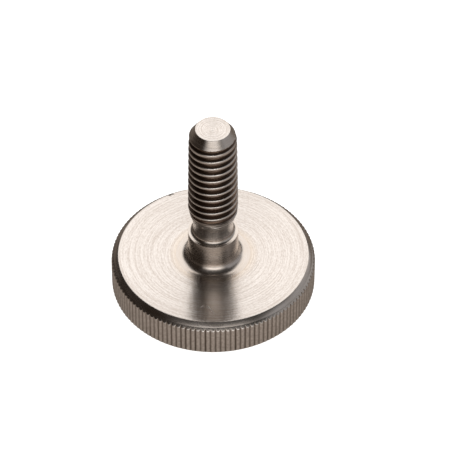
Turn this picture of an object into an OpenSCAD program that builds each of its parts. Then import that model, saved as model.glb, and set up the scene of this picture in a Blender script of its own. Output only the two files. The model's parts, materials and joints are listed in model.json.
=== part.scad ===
// Knurled thumb screw with a low flat head, a plain shoulder and a necked, threaded stud.
// It stands on the outer face of its head: z = 0 is that face, and the stud points up along +Z.

/* [Head] */
// Diameter of the head over the crests of its knurl
head_d = 24; // [16:0.5:60]
// Thickness of the head
head_h = 5; // [2.5:0.25:15]
// Width and height of the 45-degree chamfer on each rim of the head
head_chamfer = 0.8; // [0.3:0.1:1.2]

/* [Knurl] */
// Number of straight grooves around the rim
knurl_grooves = 128; // [40:1:160]
// Depth of each groove below the crests
knurl_depth = 0.18; // [0.08:0.01:0.28]
// Included angle of each groove
knurl_angle = 90; // [60:5:90]

/* [Shoulder] */
// Diameter of the plain shoulder under the head
shoulder_d = 5.9; // [5:0.1:12]
// Height of the shoulder above the head's bearing face
shoulder_h = 3.85; // [1:0.05:10]
// Radius of the fillet where the shoulder rises out of the bearing face
base_fillet = 1.1; // [0.2:0.1:3]

/* [Neck] */
// Diameter of the relieved neck between the shoulder and the thread
neck_d = 4.7; // [3:0.1:5.7]
// Length of the neck
neck_len = 1.85; // [1:0.05:8]
// Radius of the fillet where the neck rises out of the shoulder's top
neck_fillet = 0.5; // [0.1:0.05:1]

/* [Threaded stud] */
// Outside diameter of the thread, over its crests
thread_d = 5.8; // [5:0.1:12]
// Length of the stud from the head's bearing face to its point
stud_len = 20; // [10:1:60]
// Height of the cone that leads from the neck out to the thread's crests
lead_h = 1.95; // [0.3:0.05:3]
// Diameter of the flat end of the point
point_d = 4; // [1:0.1:5]
// Angle between the cone of the point and the axis
point_angle = 35; // [25:5:60]

/* [Hidden] */
$fn = 128;

head_r = head_d / 2;
shoulder_r = shoulder_d / 2;
neck_r = neck_d / 2;
thread_r = thread_d / 2;
point_r = point_d / 2;

shoulder_top = head_h + shoulder_h;
neck_top = shoulder_top + neck_len;
thread_start = neck_top + lead_h;
point_h = (thread_r - point_r) / tan(point_angle);
top = head_h + stud_len;
thread_end = top - point_h;

// Each fillet is limited by the walls that it joins.
base_fillet_r = min(base_fillet, shoulder_h, head_r - head_chamfer - shoulder_r);
neck_fillet_r = min(neck_fillet, neck_len, shoulder_r - neck_r);
// How far a fillet's section is sunk into the body that it grows from
fillet_root = 0.2;

// How far the groove cutters reach past the crests, and past each face of the head
cutter_over = 0.05;

// Section of the blend in an inside corner, with the corner at [r, z] and the walls going up and out
module corner_fillet(r, z, radius) {
    difference() {
        translate([r - fillet_root, z - fillet_root]) square(radius + fillet_root);
        translate([r + radius, z + radius]) circle(r = radius);
    }
}

// Half section of the whole turned blank, from the axis outwards
module blank_section() {
    polygon([
        [0, 0],
        [head_r - head_chamfer, 0],
        [head_r, head_chamfer],
        [head_r, head_h - head_chamfer],
        [head_r - head_chamfer, head_h],
        [shoulder_r, head_h],
        [shoulder_r, shoulder_top],
        [neck_r, shoulder_top],
        [neck_r, neck_top],
        [thread_r, thread_start],
        [thread_r, thread_end],
        [point_r, top],
        [0, top]
    ]);
    corner_fillet(shoulder_r, head_h, base_fillet_r);
    corner_fillet(neck_r, shoulder_top, neck_fillet_r);
}

// Plan of one knurl groove: a V whose tip lies below the crests on the +X side
module groove_plan() {
    tip_r = head_r - knurl_depth;
    mouth_r = head_r + cutter_over;
    half_mouth = (mouth_r - tip_r) * tan(knurl_angle / 2);
    polygon([[tip_r, 0], [mouth_r, -half_mouth], [mouth_r, half_mouth]]);
}

// Every groove around the rim, as tall as the head, with a crest and not a groove on the +X side
module knurl_cutters() {
    translate([0, 0, -cutter_over])
        linear_extrude(head_h + 2 * cutter_over)
            for (i = [0 : knurl_grooves - 1])
                rotate((i + 0.5) * 360 / knurl_grooves) groove_plan();
}

// The screw, turned from one bar and knurled along its rim
module thumb_screw() {
    color([0.82, 0.78, 0.73])
        difference() {
            rotate_extrude() blank_section();
            knurl_cutters();
        }
}

thumb_screw();
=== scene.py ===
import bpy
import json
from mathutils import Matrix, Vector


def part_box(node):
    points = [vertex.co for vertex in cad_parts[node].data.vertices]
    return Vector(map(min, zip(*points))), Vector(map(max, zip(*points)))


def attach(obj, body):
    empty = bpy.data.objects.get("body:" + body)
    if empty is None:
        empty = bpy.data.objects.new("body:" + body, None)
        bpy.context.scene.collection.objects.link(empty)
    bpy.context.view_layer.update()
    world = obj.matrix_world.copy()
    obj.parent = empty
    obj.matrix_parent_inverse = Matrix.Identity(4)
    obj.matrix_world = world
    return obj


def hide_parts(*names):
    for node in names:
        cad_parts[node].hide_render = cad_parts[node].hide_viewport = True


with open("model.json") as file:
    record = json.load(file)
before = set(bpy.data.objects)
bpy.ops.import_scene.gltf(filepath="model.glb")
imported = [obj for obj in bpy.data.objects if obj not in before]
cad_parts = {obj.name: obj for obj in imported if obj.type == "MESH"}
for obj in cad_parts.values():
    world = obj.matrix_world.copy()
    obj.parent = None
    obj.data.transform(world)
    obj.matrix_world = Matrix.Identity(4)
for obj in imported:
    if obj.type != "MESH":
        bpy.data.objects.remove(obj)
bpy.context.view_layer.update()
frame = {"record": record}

import json
import math
import random

import bmesh
import bpy
from mathutils import Vector, noise

# ---------------------------------------------------------------------------------------------
# The head: a low disc of free-machining stainless steel, turned from bar in a lathe. Both faces
# are faced, both rims are chamfered, and a straight wheel rolls the knurl into the rim.
# ---------------------------------------------------------------------------------------------
MM = 0.001
mounts = {mount["name"]: mount for mount in frame["record"]["mounts"]}
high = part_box("thumb_screw")[1]
head_r = high.x / MM
face_z = mounts["bearing_face"]["pos_m"][2] / MM
head_chamfer = 0.8
flat_r = head_r - head_chamfer
edge_break = 0.05

# The mesh is a stack of rings of points round the axis, joined by bands of faces.
mesh = bmesh.new()
COLUMNS = 128
around = [2 * math.pi * i / COLUMNS for i in range(COLUMNS)]
FACED, TURNED, NECKED, KNURLED, THREADED = range(5)


def ring(radius, z, angles):
    """A ring of points. radius and z are numbers, or one number for each angle."""
    radii = radius if isinstance(radius, list) else [radius] * len(angles)
    heights = z if isinstance(z, list) else [z] * len(angles)
    return [
        mesh.verts.new((r * math.cos(a) * MM, r * math.sin(a) * MM, h * MM))
        for r, h, a in zip(radii, heights, angles)
    ]


def band(lower, upper, finish):
    """Faces between two rings. One ring may have several times as many points as the other."""
    count = min(len(lower), len(upper))
    below, above = len(lower) // count, len(upper) // count
    faces = []
    for i in range(count):
        a = [lower[(i * below + k) % len(lower)] for k in range(below + 1)]
        b = [upper[(i * above + k) % len(upper)] for k in range(above + 1)]
        if below == above:
            faces.append((a[0], a[1], b[1], b[0]))
        elif above > below:
            half = above // 2
            faces += [(a[0], b[k + 1], b[k]) for k in range(half)]
            faces.append((a[0], a[1], b[half]))
            faces += [(a[1], b[k + 1], b[k]) for k in range(half, above)]
        else:
            half = below // 2
            faces += [(b[0], a[k], a[k + 1]) for k in range(half)]
            faces.append((b[0], a[half], b[1]))
            faces += [(b[1], a[k], a[k + 1]) for k in range(half, below)]
    for corners in faces:
        mesh.faces.new(corners).material_index = finish


def cap(rim, z, finish, upward):
    """Closes the inside of a ring with a fan of faces round a point on the axis."""
    centre = mesh.verts.new((0, 0, z * MM))
    for i, corner in enumerate(rim):
        following = rim[(i + 1) % len(rim)]
        corners = (corner, following, centre) if upward else (following, corner, centre)
        mesh.faces.new(corners).material_index = finish


# The straight knurl: V grooves of 90 degrees with a flat crest between them. The wheel rides up
# and down a little, so the grooves are not all quite as deep.
knurl_grooves = 128
knurl_depth = 0.18
knurl_pitch = 2 * math.pi * head_r / knurl_grooves
crest_share = 1 - 2 * knurl_depth / knurl_pitch
crest_round = 0.03

# Across one groove, from the middle of a crest: shares of the pitch and of the depth.
groove_columns = [
    (0.0, 0.0),
    (crest_share / 2 - crest_round, 0.0),
    (crest_share / 2 + crest_round, 0.1),
    (0.46, 0.87),
    (0.5, 0.94),
    (0.54, 0.87),
    (1 - crest_share / 2 - crest_round, 0.1),
    (1 - crest_share / 2 + crest_round, 0.0),
]
wheel = random.Random(24)
rim_angles, rim_radii = [], []
for groove in range(knurl_grooves):
    depth = knurl_depth * (1 + wheel.uniform(-0.2, 0.06))
    shift = wheel.uniform(-0.03, 0.03)
    for share, down in groove_columns:
        rim_angles.append(2 * math.pi * (groove + share + shift * min(down, 1)) / knurl_grooves)
        rim_radii.append(head_r - depth * down)

# The outer face, from its middle outwards.
lower_ring = ring(1.5, 0, around)
cap(lower_ring, 0, FACED, upward=False)
for radius in (5.0, 8.0, 10.7):
    outer = ring(radius, 0, around)
    band(lower_ring, outer, FACED)
    lower_ring = outer

# The tool paused on its way down the chamfer and left a fine line round it.
pause = 0.47
pause_depth = 0.006
pause_half_width = 0.03


def rim_profile(radius):
    """Points of the rim's lower half, for a column whose wall stands at this radius."""
    wall_foot = radius - flat_r
    return [
        (flat_r - edge_break, 0),
        (flat_r, edge_break * 0.3),
        (flat_r + edge_break * 0.7, edge_break * 0.7),
        (flat_r + pause - pause_half_width, pause - pause_half_width),
        (flat_r + pause - pause_depth, pause + pause_depth),
        (flat_r + pause + pause_half_width, pause + pause_half_width),
        (radius - edge_break, wall_foot - edge_break),
        (radius - edge_break * 0.3, wall_foot),
        (radius, wall_foot + edge_break * 1.4),
    ]


profiles = [rim_profile(radius) for radius in rim_radii]
lower_half = [
    ([p[step][0] for p in profiles], [p[step][1] for p in profiles])
    for step in range(len(profiles[0]))
]
upper_half = [(radii, [face_z - z for z in heights]) for radii, heights in reversed(lower_half)]

# A small knock on the upper edge of the head.
nick_angle = math.radians(117.6)
nick_width = 0.32
nick_depth = 0.13
for radii, heights in upper_half:
    for i, angle in enumerate(rim_angles):
        away = math.hypot((angle - nick_angle) * flat_r, radii[i] - flat_r)
        if away < nick_width:
            heights[i] -= nick_depth * (1 - (away / nick_width) ** 2)

# The finish of each band, up the lower half of the rim, the wall and the upper half.
rim_finish = [FACED, FACED, TURNED, TURNED, TURNED, TURNED, TURNED, KNURLED, KNURLED]
finishes = rim_finish + [KNURLED] + rim_finish[:0:-1]
for (radii, heights), finish in zip(lower_half + upper_half, finishes):
    outer = ring(radii, heights, rim_angles)
    band(lower_ring, outer, finish)
    lower_ring = outer

# ---------------------------------------------------------------------------------------------
# The bearing face, the shoulder and the neck: turned in the same setting, with a radiused tool
# that leaves a fillet at the foot of the shoulder and another at the foot of the neck.
# ---------------------------------------------------------------------------------------------
shoulder_r = mounts["shoulder"]["dims"]["r_mm"]
base_fillet = 1.1
shoulder_top = face_z + 3.85
neck_r = 2.35
neck_fillet = 0.5
rim_break = 0.02
ARC_STEPS = 10

# The facing cut leaves rings of uneven height.
facing_tool = random.Random(7)
facing_feed = 0.25
facing_depth = 0.004
first_cut = flat_r - 0.3
rings_faced = int((first_cut - shoulder_r - base_fillet) / facing_feed)
turned_profile = [
    (first_cut - facing_feed * cut, face_z - facing_tool.uniform(0, facing_depth), FACED)
    for cut in range(rings_faced)
]


def fillet(wall_r, foot_z, size):
    """Points up a fillet, from the flat at its foot to the wall above it."""
    arc = [math.pi / 2 * step / ARC_STEPS for step in range(ARC_STEPS + 1)]
    return [
        (wall_r + size * (1 - math.sin(turn)), foot_z + size * (1 - math.cos(turn)), TURNED)
        for turn in arc
    ]


turned_profile += fillet(shoulder_r, face_z, base_fillet)
turned_profile += [
    (shoulder_r, shoulder_top - rim_break, TURNED),
    (shoulder_r - rim_break * 0.3, shoulder_top - rim_break * 0.3, TURNED),
    (shoulder_r - rim_break, shoulder_top, TURNED),
]
turned_profile += fillet(neck_r, shoulder_top, neck_fillet)
for radius, z, finish in turned_profile:
    upper_ring = ring(radius, z, around)
    band(lower_ring, upper_ring, finish)
    lower_ring = upper_ring

# ---------------------------------------------------------------------------------------------
# The stud: an M6 x 1 right-hand thread, cut with a die over a blank with a lead cone at the neck
# and a cone at the point. The die runs out on the cone and tears the metal a little there.
# ---------------------------------------------------------------------------------------------
top = high.z / MM
thread_r = mounts["stud"]["dims"]["r_mm"]
thread_length = mounts["stud"]["dims"]["length_mm"]
thread_start = mounts["stud"]["pos_m"][2] / MM - thread_length / 2
thread_end = thread_start + thread_length
lead_height = 1.95
lead_swell = 0.04
neck_top = thread_start - lead_height
point_r = 2.0

# The thread's form: flanks 60 degrees apart, a rounded root, and crests cut off at thread_r.
# crest_phase is the height of one crest on the +X side.
pitch = 1.0
basic_r = 3.0
root_r = 2.41
crest_phase = 13.42
flank_slope = math.tan(math.radians(30))
root_round = pitch * 7 / 16 / flank_slope - (basic_r - root_r)
first_turn = crest_phase - pitch * math.ceil((crest_phase - neck_top) / pitch + 1)
turns = math.ceil((top - first_turn) / pitch) + 1

# The run-out: the groove fades out between two heights, and the metal is torn and burred there.
run_out_top = 13.1
run_out_foot = 12.1
die_foot = 12.3
tear_depth = 0.09
tear_reach = 0.6
burr_height = 0.1
burr_spacing = 0.32
burrs_fade = (12.5, 12.9)

# Use has worn the crests down towards the point, and a little more at the last turn.
crest_wear = 0.1
crest_wear_span = (15.5, 22.7)
last_turn_wear = 0.08
last_turn_span = (22.7, 23.7)
dent_depth = 0.012

upper_ring = ring(neck_r, neck_top, around)
band(lower_ring, upper_ring, NECKED)


def flank(radius):
    """Height above the middle of the crest at which the flank has this radius."""
    return pitch / 16 + flank_slope * (basic_r - radius)


half_profile = [
    (0.03, thread_r),
    (0.08, thread_r - 0.01),
    (0.125, thread_r - 0.035),
    (flank(thread_r - 0.07), thread_r - 0.07),
    (flank(2.77), 2.77),
    (flank(2.62), 2.62),
]
for degrees in (60, 40, 20, 0):
    turn = math.radians(degrees)
    half_profile.append(
        (pitch / 2 - root_round * math.sin(turn), root_r + root_round * (1 - math.cos(turn)))
    )
thread_profile = half_profile + [(pitch - z, r) for z, r in half_profile[-2::-1]]
rows_per_turn = len(thread_profile)


def share_between(value, first, last):
    """How far a value has gone from the first one to the last, held between 0 and 1."""
    return min(max((value - first) / (last - first), 0), 1)


def worn(z, r, angle):
    """The thread's radius at a height: faded out at the neck, and worn along its crests."""
    r += (thread_r + lead_swell - r) * share_between(z, run_out_top, run_out_foot)
    height = (r - root_r) / (thread_r - root_r)
    lower = crest_wear * share_between(z, *crest_wear_span)
    lower += last_turn_wear * share_between(z, *last_turn_span)
    place = Vector((3 * math.cos(angle), 3 * math.sin(angle), z * 2))
    dent = dent_depth * max(0, noise.noise(place * 1.7))
    return r - (lower + dent) * max(height, 0) ** 2


def blank_radius(z, angle):
    """Radius of the blank before threading: lead cone, cylinder and point cone."""
    if z < thread_start:
        share = share_between(z, neck_top, thread_start)
        cone = neck_r + (thread_r - neck_r) * share + lead_swell * 4 * share * (1 - share)
        climb = z - pitch * angle / (2 * math.pi)
        place = Vector((2 * math.cos(angle), 2 * math.sin(angle), climb * 9))
        torn = share_between(z, neck_top, neck_top + tear_reach)
        wave = max(0, math.sin(climb * 2 * math.pi / burr_spacing))
        burr = wave * max(0, 0.3 + noise.noise(place * 0.6))
        ragged = burr_height * burr * (1 - share_between(z, *burrs_fade))
        return cone + torn * (ragged - tear_depth * (0.5 + 0.5 * noise.noise(place)))
    if z < thread_end:
        return thread_r
    return thread_r + (point_r - thread_r) * (z - thread_end) / (top - thread_end)


HALVINGS = 24


def crossing(inside, outside, angle):
    """The point between two points of the thread's profile where it meets the blank's surface."""
    for _ in range(HALVINGS):
        middle = ((inside[0] + outside[0]) / 2, (inside[1] + outside[1]) / 2)
        if middle[1] > blank_radius(middle[0], angle):
            outside = middle
        else:
            inside = middle
    return inside


def cut_column(rise, angle):
    """The blank's surface after the die has passed, up one column of points."""
    points = []
    for turn in range(turns):
        for z, r in thread_profile:
            height = first_turn + turn * pitch + z + rise
            points.append((height, worn(height, r, angle)))
    kept = [r <= blank_radius(z, angle) + 1e-6 for z, r in points]
    cut = []
    for k, (z, r) in enumerate(points):
        if z <= neck_top:
            cut.append((neck_top, neck_r))
        elif z >= top:
            cut.append((top, point_r))
        elif kept[k]:
            cut.append((z, r))
        elif kept[k - 1]:
            cut.append(crossing(points[k - 1], (z, r), angle))
        elif k + 1 < len(points) and kept[k + 1]:
            cut.append(crossing(points[k + 1], (z, r), angle))
        else:
            cut.append((z, blank_radius(z, angle)))
    return cut


columns = []
for i, angle in enumerate(around):
    column = []
    for z, r in cut_column(pitch * i / COLUMNS, angle):
        column.append(mesh.verts.new((r * math.cos(angle) * MM, r * math.sin(angle) * MM, z * MM)))
    columns.append(column)
rows = turns * rows_per_turn

# The last column joins the first one a turn higher. Points held at the neck's top or at the
# stud's end coincide, so a face there that has no area is left out.
for i in range(COLUMNS):
    for row in range(rows - 1):
        here = columns[i]
        if i + 1 < COLUMNS:
            there, shifted = columns[i + 1], row
        else:
            there, shifted = columns[0], row + rows_per_turn
        if shifted + 1 >= rows:
            continue
        corners = (here[row], there[shifted], there[shifted + 1], here[row + 1])
        if len({tuple(round(x * 1e8) for x in v.co) for v in corners}) > 2:
            middle_z = sum(v.co.z for v in corners) / 4 / MM
            if middle_z < die_foot:
                finish = NECKED
            elif middle_z < thread_end:
                finish = THREADED
            else:
                finish = TURNED
            mesh.faces.new(corners).material_index = finish

# The end of the stud, faced from the outside in, with a small pip left in the middle of a dish.
end_profile = [
    (1.85, -0.01), (1.6, -0.032), (1.45, -0.02), (1.25, -0.053), (1.1, -0.035), (0.92, -0.08),
    (0.8, -0.057), (0.62, -0.095), (0.5, -0.075), (0.34, -0.11), (0.22, -0.084), (0.1, -0.066),
]
lower_ring = ring(point_r, top, around)
for radius, drop in end_profile:
    upper_ring = ring(radius, top + drop, around)
    band(lower_ring, upper_ring, FACED)
    lower_ring = upper_ring
cap(lower_ring, top - 0.06, FACED, upward=True)

# Points that coincide are joined, and only true corners are kept sharp.
bmesh.ops.remove_doubles(mesh, verts=mesh.verts, dist=2e-7)
bmesh.ops.dissolve_degenerate(mesh, edges=mesh.edges, dist=1e-8)
bmesh.ops.recalc_face_normals(mesh, faces=mesh.faces)
SHARP = math.radians(28)
for face in mesh.faces:
    face.smooth = True
for edge in mesh.edges:
    edge.smooth = edge.calc_face_angle(0) < SHARP

screw_mesh = bpy.data.meshes.new("turned_screw")
mesh.to_mesh(screw_mesh)
mesh.free()
screw = bpy.data.objects.new("turned_screw", screw_mesh)
bpy.context.scene.collection.objects.link(screw)
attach(screw, "root")
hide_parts("thumb_screw")


def linear(colour):
    """An sRGB hex colour as linear red, green, blue and alpha."""
    channels = [int(colour[i : i + 2], 16) / 255 for i in (1, 3, 5)]
    return [c / 12.92 if c <= 0.04045 else ((c + 0.055) / 1.055) ** 2.4 for c in channels] + [1]


def node(tree, kind, inputs={}, **settings):
    """Adds a node with its settings. An input is a value, or the output that it is linked to."""
    made = tree.nodes.new("ShaderNode" + kind)
    for name, value in settings.items():
        setattr(made, name, value)
    for name, value in inputs.items():
        if isinstance(value, bpy.types.NodeSocket):
            tree.links.new(value, made.inputs[name])
        else:
            made.inputs[name].default_value = value
    return made


def metal(name):
    """A bare metal finish: the material, its node tree and its shader."""
    material = bpy.data.materials.new(name)
    material.use_nodes = True
    shader = material.node_tree.nodes["Principled BSDF"]
    shader.inputs["Metallic"].default_value = 1
    return material, material.node_tree, shader


def from_axis(tree):
    """A point's place on the screw, that place without its height, and how far out it lies."""
    place = node(tree, "TexCoord").outputs["Object"]
    flat = node(tree, "VectorMath", {0: place, 1: (1, 1, 0)}, operation="MULTIPLY").outputs[0]
    out = node(tree, "VectorMath", {0: flat}, operation="LENGTH").outputs["Value"]
    return place, flat, out


def grained(tree, shader, grain, smooth, rough, relief):
    """Roughness between two values, and a relief so many mm high, both from the same grain."""
    gloss = node(tree, "MapRange", {"Value": grain, "To Min": smooth, "To Max": rough})
    tree.links.new(gloss.outputs[0], shader.inputs["Roughness"])
    marks = node(tree, "Bump", {"Height": grain, "Distance": relief * MM, "Strength": 1})
    tree.links.new(marks.outputs[0], shader.inputs["Normal"])


def stretched(tree, shader, amount):
    """Stretches the reflections across the tool's rings, which run round the axis."""
    tangent = node(tree, "Tangent", direction_type="RADIAL", axis="Z")
    tree.links.new(tangent.outputs[0], shader.inputs["Tangent"])
    shader.inputs["Anisotropic"].default_value = amount
    shader.inputs["Anisotropic Rotation"].default_value = 0.25


def cutting_marks(tree, across_mm, along_mm):
    """Uneven marks that run round the axis, about so many mm wide and so many mm long."""
    place, flat, out = from_axis(tree)
    height = node(tree, "SeparateXYZ", {0: place}).outputs["Z"]
    # The height counts for more than the radius, so the marks also show across a chamfer.
    along = node(tree, "Math", {0: height, 1: 1.6, 2: out}, operation="MULTIPLY_ADD").outputs[0]
    step = node(tree, "Math", {0: along, 1: 1000 / across_mm}, operation="MULTIPLY").outputs[0]
    lift = node(tree, "CombineXYZ", {"Z": step}).outputs[0]
    length = {0: flat, "Scale": 1000 / along_mm}
    way = node(tree, "VectorMath", length, operation="SCALE").outputs[0]
    spot = node(tree, "VectorMath", {0: way, 1: lift}, operation="ADD").outputs[0]
    marks = {"Vector": spot, "Scale": 1, "Detail": 2, "Roughness": 0.5}
    return node(tree, "TexNoise", marks).outputs[0]


# Faced stainless steel: a bright satin, with long rings that the tool left and short flecks where
# the metal tore. Both are really finer than 0.1 mm, and are drawn coarser so that they show.
faced, tree, shader = metal("faced_stainless")
flecks = cutting_marks(tree, 0.12, 0.36)
rings = cutting_marks(tree, 0.17, 6)
both = node(tree, "Math", {0: flecks, 1: rings}, operation="ADD").outputs[0]
polish = node(tree, "MapRange", {"Value": both, "From Min": 0.75, "From Max": 1.2}).outputs[0]
shade = node(tree, "Mix", {0: polish}, data_type="RGBA")
shade.inputs[6].default_value = linear("#C2B7AE")
shade.inputs[7].default_value = linear("#DCD4CD")

# A painted reflection: the bearing face is tinted a faint warm straw round the foot of the shoulder,
# fading outwards.
place, _, out = from_axis(tree)
painted_reflection_in, painted_reflection_out = (shoulder_r + base_fillet) * MM, (shoulder_r + base_fillet + 1.3) * MM
fading = {"Value": out, "From Min": painted_reflection_out, "From Max": painted_reflection_in, "To Max": 0.4}
reflection_fade = node(tree, "MapRange", fading).outputs[0]
height = node(tree, "SeparateXYZ", {0: place}).outputs["Z"]
bearing = node(tree, "Math", {0: height, 1: face_z * MM, 2: 0.1 * MM}, operation="COMPARE").outputs[0]
# Only the bearing face takes the painted reflection, mixed into its colour.
painted_reflection_share = node(tree, "Math", {0: reflection_fade, 1: bearing}, operation="MULTIPLY").outputs[0]
painted_reflection = node(tree, "Mix", {0: painted_reflection_share, 6: shade.outputs[2]}, data_type="RGBA")
painted_reflection.inputs[7].default_value = linear("#CDB494")

# Two short scratches on the face: each is a place, a turn in degrees and a half length in mm.
scratched = 0.0
for x, y, degrees, half_length in ((-0.3, -9.1, -54, 0.7), (-1.3, -8.7, 48, 0.35)):
    laid = node(tree, "Mapping", {"Vector": place}, vector_type="TEXTURE")
    laid.inputs["Location"].default_value = (x * MM, y * MM, face_z * MM)
    laid.inputs["Rotation"].default_value = (0, 0, math.radians(degrees))
    laid.inputs["Scale"].default_value = (half_length * MM, 0.07 * MM, 0.1 * MM)
    reach = node(tree, "VectorMath", {0: laid.outputs[0]}, operation="LENGTH").outputs["Value"]
    line = node(tree, "Math", {0: reach, 1: 1.0}, operation="LESS_THAN").outputs[0]
    scratched = node(tree, "Math", {0: scratched, 1: line}, operation="MAXIMUM").outputs[0]
tree.links.new(painted_reflection.outputs[2], shader.inputs["Base Color"])
satin = node(tree, "MapRange", {"Value": flecks, "To Min": 0.18, "To Max": 0.3}).outputs[0]
gloss = node(tree, "Math", {0: scratched, 1: 0.8, 2: satin}, operation="MULTIPLY_ADD")
tree.links.new(gloss.outputs[0], shader.inputs["Roughness"])
marks = node(tree, "Bump", {"Height": both, "Distance": 0.004 * MM, "Strength": 1})
tree.links.new(marks.outputs[0], shader.inputs["Normal"])
stretched(tree, shader, 0.85)

# Turned stainless steel, on the shoulder, both fillets, the chamfers and the point: darker to the
# eye than the face, with rings about 0.2 mm apart and a faint straw tint in the deeper marks.
turned, tree, shader = metal("turned_stainless")
fine = cutting_marks(tree, 0.22, 2)
shade = node(tree, "Mix", {0: fine}, data_type="RGBA")
shade.inputs[6].default_value = linear("#C4B6A8")
shade.inputs[7].default_value = linear("#D6CDC6")
tree.links.new(shade.outputs[2], shader.inputs["Base Color"])
grained(tree, shader, fine, 0.19, 0.32, 0.012)
stretched(tree, shader, 0.6)

# Form-cut stainless steel, on the neck and the foot of the lead cone: the narrow tool leaves it a little
# rougher than the shoulder. Its colour is painted paler than the shoulder's, as painted light, so it
# looks an even, paler grey.
neck_painted_light, tree, shader = metal("form_cut_stainless_painted_light")
chatter = cutting_marks(tree, 0.2, 3)
# These pale colours are painted light on the same steel as the shoulder.
shade = node(tree, "Mix", {0: chatter}, data_type="RGBA")
shade.inputs[6].default_value = linear("#CFC5BC")
shade.inputs[7].default_value = linear("#F0EAE4")
tree.links.new(shade.outputs[2], shader.inputs["Base Color"])
grained(tree, shader, chatter, 0.24, 0.34, 0.008)
stretched(tree, shader, 0.6)

# Rolled stainless steel, on the knurl. The wheel burnishes the crests. The colour is painted light on
# them as a highlight and dark down in the grooves as shade, with patches of grime that dull it here and
# there, so every crest reads as a lighter line.
knurl_painted_light_and_shade, tree, shader = metal("rolled_stainless_painted_light_and_shade")
place, _, out = from_axis(tree)
# Painted shade and highlight: from the foot of the grooves out to the crests, the colour goes from dark
# to light.
groove_foot, crest = (head_r - knurl_depth) * MM, (head_r - 0.03) * MM
rise = node(tree, "MapRange", {"Value": out, "From Min": groove_foot, "From Max": crest})
patches_per_mm, grains_per_mm = 3.5, 9
spots = {"Vector": place, "Scale": patches_per_mm / MM, "Detail": 3}
patches = node(tree, "TexNoise", spots).outputs[0]
grime = node(tree, "MapRange", {"Value": patches, "From Min": 0.35, "From Max": 0.65, "To Min": 0.68})
painted_highlight_and_grime = node(tree, "Math", {0: rise.outputs[0], 1: grime.outputs[0]}, operation="MULTIPLY").outputs[0]
shade = node(tree, "Mix", {0: painted_highlight_and_grime}, data_type="RGBA")
shade.inputs[6].default_value = linear("#786B60")
shade.inputs[7].default_value = linear("#F4ECE5")
tree.links.new(shade.outputs[2], shader.inputs["Base Color"])
grain = node(tree, "TexNoise", {"Vector": place, "Scale": grains_per_mm / MM, "Detail": 2})
grained(tree, shader, grain.outputs[0], 0.25, 0.42, 0.004)

# Die-cut stainless steel, on the thread: worn crests, and flanks that the die scuffed. The colour is
# painted light on the crests as a highlight and dark down the flanks to the roots as shade.
thread_painted_light_and_shade, tree, shader = metal("die_cut_stainless_painted_light_and_shade")
place, _, out = from_axis(tree)

# The worn crests lie lower towards the point, so what counts as a crest goes down with them.
height = node(tree, "SeparateXYZ", {0: place}).outputs["Z"]
worn_from = crest_wear_span[0] * MM
wearing = {"Value": height, "From Min": worn_from, "From Max": 23.5 * MM, "To Max": 0.14 * MM}
wear = node(tree, "MapRange", wearing).outputs[0]
unworn = node(tree, "Math", {0: out, 1: wear}, operation="ADD").outputs[0]
# Painted shade and highlight: the colour goes from dark at the roots to light at the crests.
root, worn_crest_painted_highlight = (thread_r - 0.12) * MM, (thread_r - 0.02) * MM
rise = node(tree, "MapRange", {"Value": unworn, "From Min": root, "From Max": worn_crest_painted_highlight})
shade = node(tree, "Mix", {0: rise.outputs[0]}, data_type="RGBA")
shade.inputs[6].default_value = linear("#6C594C")
shade.inputs[7].default_value = linear("#EAE1D9")
tree.links.new(shade.outputs[2], shader.inputs["Base Color"])
scuffs = cutting_marks(tree, 0.14, 0.5)
grained(tree, shader, scuffs, 0.22, 0.42, 0.008)

for material in (faced, turned, neck_painted_light, knurl_painted_light_and_shade, thread_painted_light_and_shade):
    screw_mesh.materials.append(material)

# ---------------------------------------------------------------------------------------------
# The stage: a sheet of lit white acrylic, which the screw stands on. It glows, so no shadow shows.
# The metal does not mirror it: it mirrors the soft grey of the studio below the horizon instead.
# The sheet lies a hair under the head's outer face, so that the two don't coincide.
# ---------------------------------------------------------------------------------------------
bpy.ops.mesh.primitive_plane_add(size=4.0)
floor = bpy.context.object
floor.name = "floor"
floor.location.z = -0.02 * MM
acrylic = bpy.data.materials.new("white_acrylic")
acrylic.use_nodes = True
acrylic_shader = acrylic.node_tree.nodes["Principled BSDF"]
acrylic_shader.inputs["Base Color"].default_value = linear("#F4F3F1")
acrylic_shader.inputs["Roughness"].default_value = 0.9
acrylic_shader.inputs["Emission Color"].default_value = (1, 1, 1, 1)
acrylic_shader.inputs["Emission Strength"].default_value = 1.0
floor.data.materials.append(acrylic)
floor.visible_glossy = False


def soft_light(name, place, width, height, radiance, colour=(1, 1, 1), fade=(0.22, 0.22)):
    """A softbox that faces the screw. It fades out over these shares of its width and height."""
    light = bpy.data.lights.new(name, "AREA")
    light.shape = "RECTANGLE"
    light.size, light.size_y = width, height
    light.energy = radiance * math.pi * width * height
    light.color = colour
    light.use_nodes = True
    tree = light.node_tree
    spot = node(tree, "NewGeometry").outputs["Parametric"]
    split = node(tree, "SeparateXYZ", {0: spot})
    glow = 1.0
    for side, share in zip(("X", "Y"), fade):
        off_centre = node(tree, "Math", {0: split.outputs[side], 1: 0.5}, operation="SUBTRACT").outputs[0]
        reach = node(tree, "Math", {0: off_centre}, operation="ABSOLUTE").outputs[0]
        dim = {"Value": reach, "From Min": 0.5, "From Max": 0.5 - share}
        edge = node(tree, "MapRange", dim, interpolation_type="SMOOTHSTEP").outputs[0]
        glow = node(tree, "Math", {0: glow, 1: edge}, operation="MULTIPLY").outputs[0]
    tree.links.new(glow, tree.nodes["Emission"].inputs["Strength"])
    lamp = bpy.data.objects.new(name, light)
    lamp.location = place
    lamp.rotation_euler = (Vector((0, 0, 0.01)) - Vector(place)).to_track_quat("-Z", "Y").to_euler()
    lamp.visible_camera = False
    bpy.context.scene.collection.objects.link(lamp)


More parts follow.
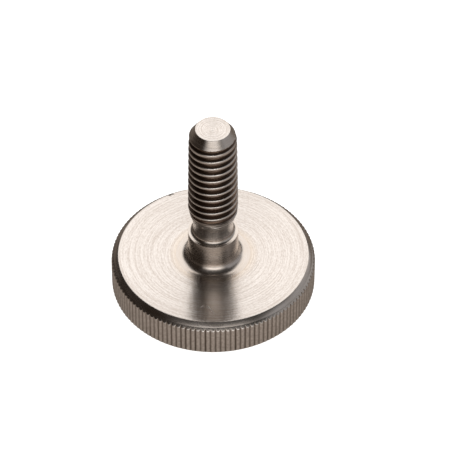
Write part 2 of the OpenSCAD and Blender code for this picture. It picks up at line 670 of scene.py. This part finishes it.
# The faces mirror the big softbox behind. The point's cone and the front of the shoulder mirror the
# low one in front. The three dim cards fill the chamfer, in front and on the right.
soft_light("back_softbox", (0.06, 0.42, 0.42), 1.25, 0.8, 1.43)
soft_light("front_softbox", (0.03, -0.57, 0.175), 1.25, 0.42, 1.85, fade=(0.42, 0.3))
soft_light("upper_front_card", (-0.02, -0.41, 0.46), 0.95, 0.32, 0.09, (0.95, 0.98, 1.05))
soft_light("right_card", (0.52, 0.0, 0.17), 1.4, 0.42, 0.4, (0.95, 0.98, 1.05))
soft_light("front_right_card", (0.5, -0.2, 0.36), 0.3, 0.22, 0.2, (0.95, 0.98, 1.05))

# The studio round the screw: dim above the horizon, darkest on the left, and below it a warm grey
# table that is lighter in front than behind.
world = bpy.data.worlds.new("studio")
bpy.context.scene.world = world
world.use_nodes = True
tree = world.node_tree
way = node(tree, "TexCoord").outputs["Generated"]
split = node(tree, "SeparateXYZ", {0: way})
above = node(tree, "MapRange", {"Value": split.outputs["Z"], "From Min": -0.06, "From Max": 0.02})
right = node(tree, "MapRange", {"Value": split.outputs["X"], "From Min": -0.7, "From Max": 0.7})
front = node(tree, "MapRange", {"Value": split.outputs["Y"], "From Min": 0.6, "From Max": -0.7})
room = node(tree, "Mix", {0: right.outputs[0]}, data_type="RGBA")
room.inputs[6].default_value = (0.024, 0.018, 0.014, 1)
room.inputs[7].default_value = (0.034, 0.033, 0.032, 1)
table = node(tree, "Mix", {0: front.outputs[0]}, data_type="RGBA")
table.inputs[6].default_value = (0.185, 0.16, 0.139, 1)
table.inputs[7].default_value = (0.36, 0.315, 0.28, 1)
studio = node(tree, "Mix", {0: above.outputs[0]}, data_type="RGBA")
tree.links.new(table.outputs[2], studio.inputs[6])
tree.links.new(room.outputs[2], studio.inputs[7])
tree.links.new(studio.outputs[2], tree.nodes["Background"].inputs["Color"])

# The camera looks down at the head and the stud's point from in front.
camera_data = bpy.data.cameras.new("camera")
camera_data.sensor_width = 36
camera_data.lens = 251
camera = bpy.data.objects.new("camera", camera_data)
elevation = math.radians(44.86)
distance = 0.3676
aim = Vector((0.0015, 0, 0.0095))
camera.location = aim + distance * Vector((0, -math.cos(elevation), math.sin(elevation)))
camera.rotation_euler = (math.pi / 2 - elevation, 0, 0)
camera_data.clip_start = 0.01
bpy.context.scene.collection.objects.link(camera)
bpy.context.scene.camera = camera
bpy.context.scene.view_settings.view_transform = "Standard"
